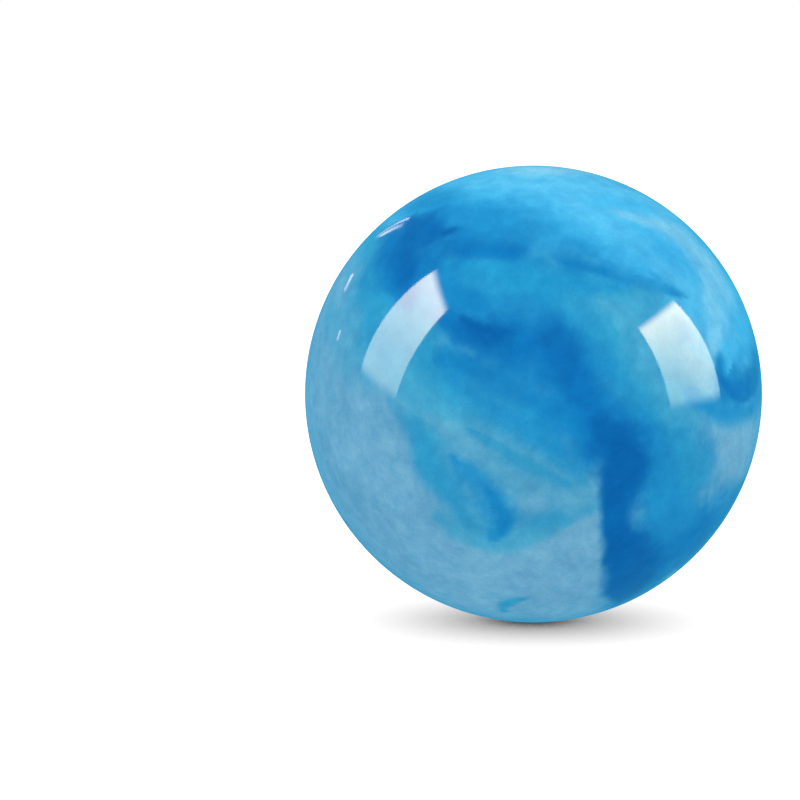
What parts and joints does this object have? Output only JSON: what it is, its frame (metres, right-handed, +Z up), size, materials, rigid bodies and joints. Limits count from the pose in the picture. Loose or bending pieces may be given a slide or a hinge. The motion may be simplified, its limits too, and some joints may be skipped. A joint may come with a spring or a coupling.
{
  "type": "inflatable play ball",
  "caption": "Hollow inflatable play ball with a glossy marbled vinyl skin and a self-sealing rubber needle valve set in a shallow dish.",
  "frame": {"origin": "centre of the ball", "axes": "+Z up as the ball lies, +Y along the valve's axis and out of the ball, so the side without the valve faces -Y; the moulding seam lies in the XZ plane"},
  "size_m": [0.2162, 0.2155, 0.2162],
  "materials": {
    "marbled_vinyl": "gloss",
    "valve_vinyl": "satin",
    "valve_rubber": "matte"
  },
  "bodies": {
    "root": {"ball_skin": "marbled_vinyl", "valve_housing": "valve_vinyl", "valve_core": "valve_rubber"}
  },
  "joints": []
}
